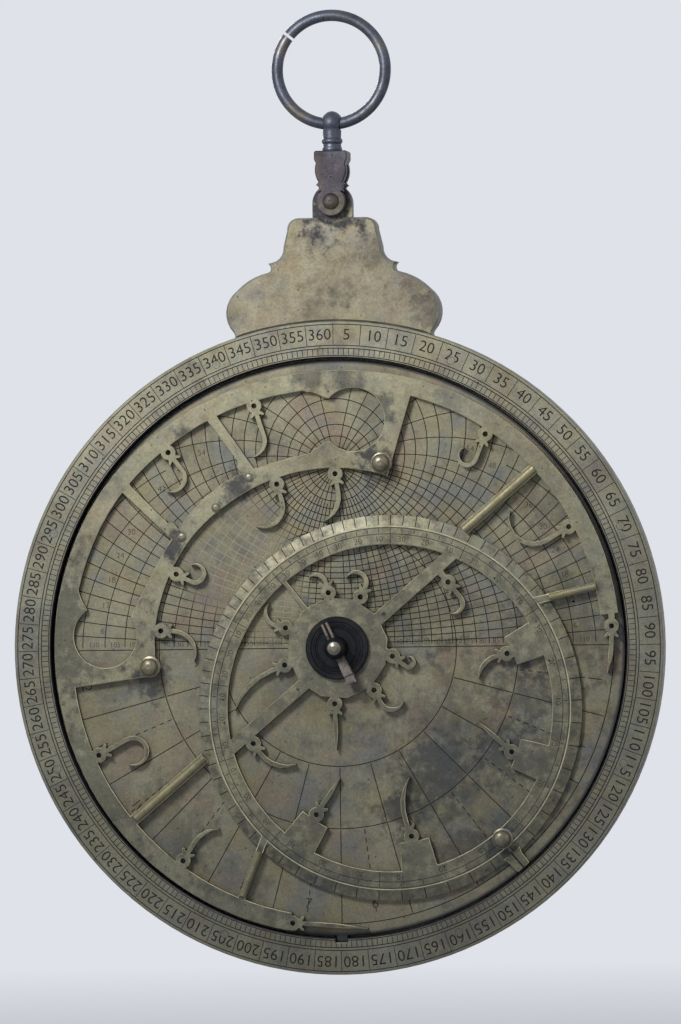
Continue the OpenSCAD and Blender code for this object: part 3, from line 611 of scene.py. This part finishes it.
# The rim's inner wall is painted with soot and with the shade of the deep gap
for p in rim.data.polygons:
    x, z = p.center.x, p.center.z - CENTRE
    looks_inwards = abs(p.normal.y) < 0.9 and p.normal.x * x + p.normal.z * z < 0
    if looks_inwards and math.hypot(x, z) < (RIM_R - 9) * MM:
        p.material_index = len(rim.data.materials) - 1
rim_numbers = [(d, *polar(RIM_NUMBERS_R, d - 2.5), d - 2.5, RIM_NUMBER_SIZE)
    for d in range(5, 361, 5)]
split_faces(rim, 3, rim_numbers)
engrave(rim, numerals("rim_numbers", rim_numbers, RIM_FACE, bold=-0.004))
engrave(rim, wires("rim_circles", [ring(r, 240) for r in RIM_CIRCLES], RIM_FACE, 0.24))
engrave(rim, wires("rim_ticks", [radial(*DEGREE_TICK, d) for d in range(360)]
    + [radial(*FIELD_TICK, d) for d in range(0, 360, 5)], RIM_FACE, 0.18))
finished(rim, "rim")

# %% [markdown]
# ## The latitude plate
# This plate is drawn for the equator. Seen from the south pole of the sky, each circle of
# the sky becomes a circle on the plate. Circles of equal height nest round the zenith, and
# circles of equal direction run from the zenith to the horizon, which is straight here.

# %% Radii of the plate's three main circles
SUN_TILT = 23.5
PLATE_BORDER = 3.2
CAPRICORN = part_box("plate_4")[1].x / MM - PLATE_BORDER
EQUATOR = CAPRICORN * math.tan(math.radians((90 - SUN_TILT) / 2))
CANCER = EQUATOR * math.tan(math.radians((90 - SUN_TILT) / 2))
print("Capricorn", round(CAPRICORN, 1), "equator", round(EQUATOR, 1), "Cancer", round(CANCER, 1))


def runs(points, keep):
    """Cuts a list of points into stretches that keep() allows."""
    out, run = [], []
    for p in points:
        if keep(p):
            run.append(p)
        else:
            if len(run) > 2:
                out.append((run, False))
            run = []
    if len(run) > 2:
        out.append((run, False))
    return out


def zenith_distance(p):
    """Angle in degrees from the zenith of a point on the plate."""
    u, v = p[0] / EQUATOR, p[1] / EQUATOR
    return math.degrees(math.acos(max(-1, min(1, 2 * v / (1 + u * u + v * v)))))


def height_circle(h):
    """The circle of height h above the horizon, inside the circle of Capricorn."""
    a = math.radians(h)
    d, r, c = EQUATOR / math.sin(a), EQUATOR / math.tan(a), CAPRICORN - 0.1
    if d + r < c:
        return ring(r, max(24, int(4 * r)), 0, d)
    half = math.acos((d * d + r * r - c * c) / (2 * d * r))
    n = max(12, int(2 * half * r / 1.6))
    return [(r * math.sin(half * (2 * i / n - 1)), d - r * math.cos(half * (2 * i / n - 1)))
        for i in range(n + 1)], False


def direction_circle(a):
    """The upper half of the circle of direction a, without its middle and beyond the rim."""
    t = math.radians(a)
    cx, r = -EQUATOR * math.tan(t), EQUATOR / math.cos(t)
    n = int(math.pi * r / 0.8)
    points = [(cx + r * math.cos(math.pi * i / n), r * math.sin(math.pi * i / n))
        for i in range(n + 1)]
    start = 3.2 if a % 10 == 0 else 12.2
    return runs(points, lambda p: math.hypot(*p) < CAPRICORN - 0.2 and p[1] > 0.2
        and zenith_distance(p) > start and (a % 10 == 0 or p[1] < EQUATOR))


# %% [markdown]
# ## Numbers of the plate
# The heights climb both sides in the outer cells of the grid, the directions stand in a row
# on the horizon, and the hours stand below it, inside the outer circle. Each number is put
# in the middle of its cell, so its place comes from the same circles as the grid.

# %% Where the plate's numbers stand
def height_numbers(radius, side):
    """Heights 3 to 57, each in its cell where the circle of a radius crosses the grid."""
    made = []
    for h in range(6, 58, 6):
        z = (radius ** 2 + EQUATOR ** 2) * math.sin(math.radians(h - 1.5)) / (2 * EQUATOR)
        x = math.sqrt(max(0, radius ** 2 - z ** 2))
        made.append((h, side * x, z, 0, 2.3))
    return made


direction_numbers = [(a, side * EQUATOR * math.tan(math.radians((a - 2.5) / 2)), 1.45, 0, 2.0)
    for side in (-1, 1) for a in range(40, 111, 5)]
hour_numbers = [(i, *polar(CAPRICORN - 5, 90 + 15 * (i - 0.5)), 15 * (i - 0.5) - 90, 4.2)
    for i in range(1, 13)]
dashes = [radial(EQUATOR + 2.4 * k + 0.6, EQUATOR + 2.4 * k + 1.9, 90 + 15 * i + 7.5)
    for i in range(12) for k in range(10)]
print(len(direction_numbers), "directions,", len(dashes), "dashes")

# %% Engrave the plate
HEIGHT_NUMBERS_R = 65.8
plate = worked_copy("plate_4", "engraved_plate", PLATE_BRASS, GROOVE, 0.15, groove=PLATE_GROOVE_DIRT_AND_HIGHLIGHT)
plate_numbers = (direction_numbers + hour_numbers + height_numbers(HEIGHT_NUMBERS_R, -1)
    + height_numbers(HEIGHT_NUMBERS_R, 1))
split_faces(plate, 3, plate_numbers)
engrave(plate, numerals("plate_numbers", plate_numbers, PLATE_FACE))
engrave(plate, wires("main_circles", [ring(r) for r in (CANCER, EQUATOR, CAPRICORN)]
    + [radial(CANCER + 0.3, EQUATOR - 0.3, 90 + 15 * i) for i in range(1, 12)]
    + [radial(EQUATOR + 0.3, CAPRICORN - 0.3, 90 + 15 * i) for i in range(1, 12)]
    + dashes, PLATE_FACE, 0.26))
engrave(plate, wires("height_circles", [height_circle(h) for h in range(3, 88, 3)]
    + [([(-CAPRICORN + 0.2, 0), (CAPRICORN - 0.2, 0)], False)], PLATE_FACE, 0.25))
engrave(plate, wires("direction_circles", [run for a in range(-85, 86, 5)
    for run in direction_circle(a)], PLATE_FACE, 0.23))
finished(plate, "plate_4")

# %% [markdown]
# ## The star map
# The map is sawn from one sheet, and its edges are filed by hand. Its ecliptic ring carries
# twelve fields of thirty degrees. The sloped edge has a tick each five degrees, cut deeper
# towards the outside, and small numbers stand on the band.

# %% Where the ecliptic's marks are
# The ring's outer radius and its middle, and how wide its sloped edge is and how far it falls
ECLIPTIC_R = EQUATOR / math.cos(math.radians(SUN_TILT)) - 1.3
ECLIPTIC_X = EQUATOR * math.tan(math.radians(SUN_TILT)) + 0.2
SLOPE = 3.0
SLOPE_DROP = 0.9


def ecliptic_angle(longitude):
    """Direction from the ring's middle to a longitude, 0 at the winter solstice."""
    lam, e = math.radians(longitude), math.radians(SUN_TILT)
    ra = math.atan2(math.sin(lam) * math.cos(e), math.cos(lam))
    dec = math.asin(math.sin(e) * math.sin(lam))
    r = EQUATOR * math.tan((math.pi / 2 - dec) / 2)
    x, z = -r * math.sin(ra), r * math.cos(ra)
    return math.degrees(math.atan2(z, x - EQUATOR * math.tan(e)))


def across_ring(inner, outer, angle):
    """A line across the ecliptic ring that follows its slope down."""
    t = math.radians(angle)
    return [(*on_map(ECLIPTIC_X + r * math.cos(t), r * math.sin(t)),
        max(0, (r - ECLIPTIC_R + SLOPE) / SLOPE * SLOPE_DROP)) for r in (inner, outer)], False


def on_band(text, radius, angle, size):
    """A number on the ecliptic ring that faces outwards from the ring's middle."""
    t = math.radians(angle)
    return (text, *on_map(ECLIPTIC_X + radius * math.cos(t), radius * math.sin(t)),
        math.degrees(MAP_TURN) + 90 - angle, size)


print("ecliptic ring", round(ECLIPTIC_R, 2), "mm round", round(ECLIPTIC_X, 2))

# %% File and engrave the star map
star_map = worked_copy("star_map", "filed_star_map", MAP_BRASS, WORN_AND_HIGHLIGHT_EDGE, 0.2)
# The map's side walls are painted dark with the grooves' material: dirt, and painted shade round
# each piece
for p in star_map.data.polygons:
    if abs(p.normal.y) < 0.2 and p.material_index == FACE:
        p.material_index = DIRT_AND_SHADE
band_numbers = [on_band(10 * (i % 3 + 1), ECLIPTIC_R - 6.6, ecliptic_angle(10 * i + 5), 2.3)
    for i in range(36)]
split_faces(star_map, 3, band_numbers)
engrave(star_map, numerals("ecliptic_numbers", band_numbers, MAP_FACE))
cx, cz = on_map(ECLIPTIC_X, 0)
engrave(star_map, wires("ecliptic_circles", [ring(r, 160, cx, cz)
    for r in (ECLIPTIC_R - 3.5, ECLIPTIC_R - 5.2)], MAP_FACE, 0.16))
engrave(star_map, wires("ecliptic_fields", [across_ring(ECLIPTIC_R - 8.0, ECLIPTIC_R - 3.7,
    ecliptic_angle(30 * i)) for i in range(12)]
    + [across_ring(ECLIPTIC_R - 4.9, ECLIPTIC_R - 3.8, ecliptic_angle(d))
    for d in range(0, 360, 5) if d % 30], MAP_FACE, 0.16))
engrave(star_map, wires("slope_ticks", [across_ring(ECLIPTIC_R - 2.7, ECLIPTIC_R + 0.3,
    ecliptic_angle(d)) for d in range(0, 360, 5)], MAP_FACE, 0.24))
engrave(star_map, wires("index_line", [([on_map(70.5, -0.8), on_map(79.5, -0.8)], False)],
    MAP_FACE, 0.4))
finished(star_map, "star_map", 0.9)

# %% [markdown]
# ## Pin, washer and wedge
# The pin's tip is rubbed bright, and the rest of it is black. The washer is turned, with
# fine rings. The wedge is painted black with shade where it runs through the pin, and dirt
# fills its groove.

# %% Finish the centre
pin = worked_copy("pin", "turned_pin", BLACKENED, KNOB_BRASS)
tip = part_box("pin")[0].y
RUBBED_TIP = 0.55
for p in pin.data.polygons:
    if p.center.y < tip + RUBBED_TIP * MM or p.center.y > BACK_FACE:
        p.material_index = EDGE
finished(pin, "pin")
washer = worked_copy("washer", "turned_washer", BLACKENED, BLACKENED, 0.1)
finished(washer, "washer")
# The wedge's groove runs along its thick end, which starts 3 mm from the pin's middle
WEDGE_TURN = math.radians(-65)
GROOVE_START, HALF_GROOVE = 3, 0.38
wedge = worked_copy("wedge", "filed_wedge", WEDGE_BRASS)
along = Vector((math.cos(WEDGE_TURN), 0, math.sin(WEDGE_TURN)))
for p in wedge.data.polygons:
    from_pin = (p.center - Vector((0, 0, CENTRE))) / MM
    if from_pin.dot(along) < -GROOVE_START and abs(from_pin.cross(along).y) < HALF_GROOVE:
        p.material_index = DIRT_AND_SHADE
finished(wedge, "wedge")

# %% [markdown]
# ## The throne and the hanger
# The throne is a thick plate with soft, dull edges, filed wide on both sides. The ring, the
# eye, the yoke and its rivet are darker, of bronze. The ring, the eye and the rivet are round
# all over and have no edge to file, so they are merged copies with a finish and smooth shade.

# %% File the throne and the hanger
BOTH_SIDES = (-1, 1)
for node, name, finish, edge, slot, width in (
    ("throne", "filed_throne", THRONE_BRASS, DULL_EDGE, "aged_brass", 0.5),
    ("suspension_ring", "hanging_ring", BRONZE, BRONZE, "bronze", 0),
    ("swivel_eye", "turned_eye", BRONZE, BRONZE, "bronze", 0),
    ("yoke", "filed_yoke", YOKE_BRONZE, YOKE_BRONZE, "bronze", 0.35),
    ("yoke_rivet", "domed_yoke_rivet", YOKE_BRONZE, YOKE_BRONZE, "bronze", 0),
):
    finished(worked_copy(node, name, finish, edge, width, BOTH_SIDES), node)

# %% [markdown]
# ## The back
# The back isn't seen from the front, but it is worked as such an instrument's is: a scale
# of heights from 0 to 90 in each upper quarter, circles for the months and their days, and
# a pair of shadow squares below. The sighting bar has a line down its middle.

# %% Engrave the back
BACK_CIRCLES = (88.3, 86, 81.4, 78, 73, 66)
# Rows of ticks between the circles: the two radii, and the directions
BACK_TICKS = (
    (86.2, 88.1, range(-90, 91)),
    (81.6, 85.8, [d + 2.5 for d in range(-90, 90, 5)]),
    (73.2, 77.8, range(0, 360, 10)),
    (66.2, 72.8, range(0, 360, 30)),
    (78.2, 81.2, range(0, 360, 5)),
)
# Side of a shadow square, and how near it comes to the lines through the middle
SHADOW, SHADOW_GAP = 40.5, 0.6
back = worked_copy("back_plate", "engraved_back", BACK_BRASS, DULL_EDGE, 0.3, (1,))
back_numbers = ([(90 - abs(d), *polar(83.6, d), d, 3.2) for d in range(-90, 91, 5)]
    + [(10 * (k % 3 + 1), *polar(75.4, 10 * k + 5), 10 * k + 5, 2.6) for k in range(36)]
    + [(3 * k, side * (10 * k - 2), -43, 0, 3) for side in (-1, 1) for k in range(1, 5)])
split_faces(back, 4, back_numbers)
engrave(back, numerals("back_numbers", back_numbers, BACK_FACE, back=True))
engrave(back, wires("back_circles", [ring(r, 240) for r in BACK_CIRCLES]
    + [([(side * x, z) for x, z in ((SHADOW_GAP, -SHADOW), (SHADOW, -SHADOW),
    (SHADOW, -SHADOW_GAP))], False) for side in (-1, 1)]
    + [([(-64, 0), (64, 0)], False)], BACK_FACE, 0.24))
engrave(back, wires("back_ticks", [radial(inner, outer, d)
    for inner, outer, directions in BACK_TICKS for d in directions]
    + [([(side * x, -40.3), (side * x, -37.5)], False) for side in (-1, 1)
    for x in (10, 20, 30)], BACK_FACE, 0.2))
finished(back, "back_plate")

# %% File and engrave the sighting bar
BAR_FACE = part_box("alidade")[1].y
bar = worked_copy("alidade", "filed_sighting_bar", BAR_BRASS, WORN_AND_HIGHLIGHT_EDGE, 0.3, BOTH_SIDES)
engrave(bar, wires("bar_line", [([(0, side * start), (0, side * end)], False)
    for start, end in ((11, 60), (71, 85)) for side in (-1, 1)], BAR_FACE, 0.24))
finished(bar, "alidade")

# %% [markdown]
# ## Small pieces that keep their solids
# Knobs, rivets, ribs, vanes, dowels and the lower plates are right in shape as they are, so
# their solids stay and only get a finish. Knobs and strap rivets are rubbed bright, and the
# other pieces take the finish of a worked piece that they lie on or belong to.

# %% Give the small pieces a finish
FINISH_BY_NAME = {"knob": KNOB_BRASS, "strap_rivet": KNOB_BRASS, "plate_": PLATE_BRASS,
    "vane": BAR_BRASS, "map_rib": BAR_BRASS}
for node, piece in frame["nodes"].items():
    for slot in piece.material_slots:
        slot.material = next((finish for start, finish in FINISH_BY_NAME.items()
            if node.startswith(start)), RIM_BRASS)
print(len(frame["nodes"]), "solids have a finish, also those that a worked copy hides")

# %% [markdown]
# ## Camera
# The camera stands a little to the right of the middle and level with it, far enough away
# that circles stay circles. Its lens is worked out from the height that it has to take in.
# The object hangs, so it leans by less than a degree, and the camera rolls by that instead.

# %% Set up the camera
VIEW_TURN = math.radians(7)
ROLL = math.radians(0.8)
DISTANCE = 2.0
VIEW_HEIGHT = 0.2824
SENSOR = 36
aim = Vector((0.0009, 0, -0.1354))
away = Vector((math.sin(VIEW_TURN), -math.cos(VIEW_TURN), 0))
camera = bpy.data.objects.new("camera", bpy.data.cameras.new("camera"))
bpy.context.scene.collection.objects.link(camera)
camera.data.lens = SENSOR * DISTANCE / VIEW_HEIGHT
camera.data.clip_start = 0.05
camera.data.clip_end = 50
turn = (-away).to_track_quat("-Z", "Y").to_matrix().to_4x4() @ Matrix.Rotation(-ROLL, 4, "Z")
camera.matrix_world = Matrix.Translation(aim + away * DISTANCE) @ turn
bpy.context.scene.camera = camera
print("lens", round(camera.data.lens), "mm, from", DISTANCE, "m")

# %% [markdown]
# ## Floor
# The floor is painted board. Near the object it is matt and takes a shadow. Farther off it
# turns into the room's own colour, by an emission that grows with the distance from the
# middle, so no horizon shows behind the object.

# %% Lay the floor
FLOOR_Z = -0.36
ROOM = "#DFE2E8"
bpy.ops.mesh.primitive_circle_add(vertices=128, radius=7, fill_type="NGON",
    location=(0, 0, FLOOR_Z))
floor = bpy.context.object
floor.name = "floor"
# Pale matt paint: it scatters light evenly and shows no gleam
m, tree, matt, place = new_finish("pale_floor")
matt.inputs["Base Color"].default_value = colour("#C3C8D2")
matt.inputs["Roughness"].default_value = 0.8
out = add(tree, "VectorMath", {0: place}, "Value", operation="LENGTH")
glow = add(tree, "Emission", {0: ROOM})
both = add(tree, "MixShader", {0: add(tree, "MapRange", {0: out, 1: 0.15, 2: 1.6}),
    1: matt.outputs[0], 2: glow})
tree.links.new(both, tree.nodes["Material Output"].inputs[0])
floor.data.materials.append(m)
print("floor", -FLOOR_Z, "m below the hook")

# %% [markdown]
# ## World and lamps
# The world has two strengths. The camera, and rays mirrored by the metal, see the pale room.
# Light that falls on the object comes from a dimmer one, so the shadows in the openwork stay
# deep. The main lamp is small and hangs in front, above and to the left, and the other one
# lights the back.

# %% Light the scene
world = bpy.data.worlds.new("pale_room")
bpy.context.scene.world = world
world.use_nodes = True
tree = world.node_tree
rays = add(tree, "LightPath").node.outputs
seen = rays["Is Camera Ray"]
for ray in ("Is Glossy Ray", "Is Transmission Ray"):
    seen = add(tree, "Math", {0: seen, 1: rays[ray]}, operation="MAXIMUM")
room = add(tree, "Background", {0: "#AEB3C2", 1: 0.25})
shown = add(tree, "Background", {0: ROOM, 1: 1.0})
both = add(tree, "MixShader", {0: seen, 1: room, 2: shown})
tree.links.new(both, tree.nodes["World Output"].inputs[0])


def lamp(name, place, size, watts):
    """A round lamp with white light, size in metres, aimed at the middle of the case."""
    data = bpy.data.lights.new(name, "AREA")
    data.shape = "DISK"
    data.size = size
    data.energy = watts
    lamp_object = bpy.data.objects.new(name, data)
    bpy.context.scene.collection.objects.link(lamp_object)
    lamp_object.location = place
    aim_at = Vector((0, 0, -0.13)) - Vector(place)
    lamp_object.rotation_euler = aim_at.to_track_quat("-Z", "Y").to_euler()
    print(name, watts, "W")


lamp("top_lamp", (-0.14, -0.28, 0.06), 0.11, 0.96)
lamp("back_lamp", (-0.25, 0.55, 0.1), 0.3, 1.6)
bpy.context.scene.view_settings.view_transform = "Standard"
